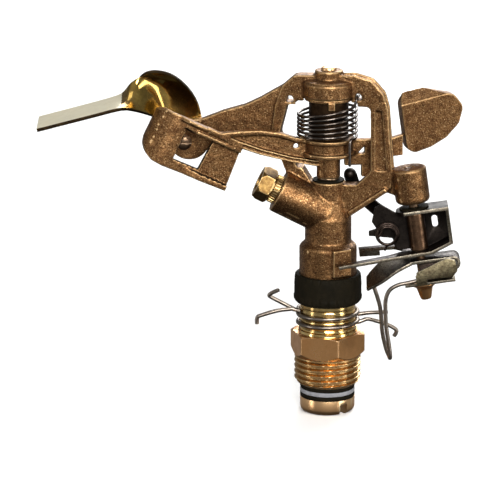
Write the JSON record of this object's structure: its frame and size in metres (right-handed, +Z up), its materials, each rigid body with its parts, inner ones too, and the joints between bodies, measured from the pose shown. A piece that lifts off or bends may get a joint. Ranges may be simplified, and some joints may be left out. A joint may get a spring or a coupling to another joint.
{
  "type": "impact sprinkler",
  "caption": "Part-circle brass impact sprinkler with a threaded inlet, a sprung drive arm with counterweight, a trip mechanism with wire stops and an adjustable jet deflector.",
  "frame": {"origin": "on the riser axis at the underside of the inlet hexagon, where the male thread begins", "axes": "+Z up the riser axis, the jet leaves towards -X and upwards, the trip mechanism is at +X, +Y completes the right-handed frame"},
  "size_m": [0.1327, 0.0242, 0.111],
  "materials": {
    "cast_bronze": "sand cast, satin",
    "machined_brass": "turned",
    "polished_brass": "polished",
    "black_rubber": "moulded",
    "white_washer": "moulded",
    "steel_wire": "drawn wire",
    "dark_steel": "dark, tarnished",
    "bright_steel": "zinc plated"
  },
  "bodies": {
    "inlet": {"bearing_nipple": "machined_brass", "thrust_washer": "white_washer", "bearing_spring": "steel_wire"},
    "stop_upper": {"stop_collar_upper": "steel_wire"},
    "stop_lower": {"stop_collar_lower": "steel_wire"},
    "head": {"bearing_tube": "machined_brass", "seal_washer_upper": "black_rubber", "friction_washer": "white_washer", "seal_washer_lower": "black_rubber", "dust_cover": "black_rubber", "sprinkler_body": "cast_bronze", "range_nozzle": "polished_brass", "fulcrum_pin": "steel_wire", "fulcrum_washer": "black_rubber", "spring_seat": "cast_bronze", "deflector_screw": "dark_steel", "deflector_nut": "dark_steel", "trip_pin": "machined_brass", "trip_pin_cap": "machined_brass", "trip_washer": "black_rubber"},
    "arm": {"drive_arm": "cast_bronze", "arm_bushing_lower": "machined_brass", "arm_bushing_upper": "machined_brass", "arm_spring": "steel_wire"},
    "deflector_blade": {"deflector": "polished_brass"},
    "trigger": {"trip_bracket": "dark_steel", "trigger_plate": "dark_steel", "trigger_clip": "bright_steel", "trigger_wire": "steel_wire"},
    "trip": {"trip_lever": "dark_steel", "toggle_spring": "steel_wire"}
  },
  "joints": [
    {"name": "head_turn", "type": "hinge", "parent": "inlet", "child": "head", "pos_m": [0, 0, 0], "axis": [0, 0, 1], "range_deg": [-130, 20]},
    {"name": "arm_swing", "type": "hinge", "parent": "head", "child": "arm", "pos_m": [0, 0, 0.0642], "axis": [0, 0, 1], "range_deg": [0, 95], "stiffness_Nm_per_rad": 0.008, "springref_deg": -34.38, "deforming": ["arm_spring"]},
    {"name": "stop_upper_turn", "type": "hinge", "parent": "inlet", "child": "stop_upper", "pos_m": [0, 0, 0.0137], "axis": [0, 0, 1], "range_deg": [-60, 0]},
    {"name": "stop_lower_turn", "type": "hinge", "parent": "inlet", "child": "stop_lower", "pos_m": [0, 0, 0.0104], "axis": [0, 0, 1], "range_deg": [0, 60]},
    {"name": "deflector_tilt", "type": "hinge", "parent": "head", "child": "deflector_blade", "pos_m": [-0.0452, 0.0089, 0.0673], "axis": [0, 1, 0], "range_deg": [0, 14]},
    {"name": "trigger_swing", "type": "hinge", "parent": "head", "child": "trigger", "pos_m": [0.0266, -0.0046, 0.049], "axis": [-0.1392, 0, 0.9903], "range_deg": [0, 7]},
    {"name": "trip_flip", "type": "hinge", "parent": "head", "child": "trip", "pos_m": [0.0266, -0.0046, 0.049], "axis": [-0.1392, 0, 0.9903], "range_deg": [-4.9, 0], "deforming": ["toggle_spring"]}
  ],
  "couplings": [
    {"joint": "trip_flip", "follows": "trigger_swing", "ratio": -0.7}
  ]
}
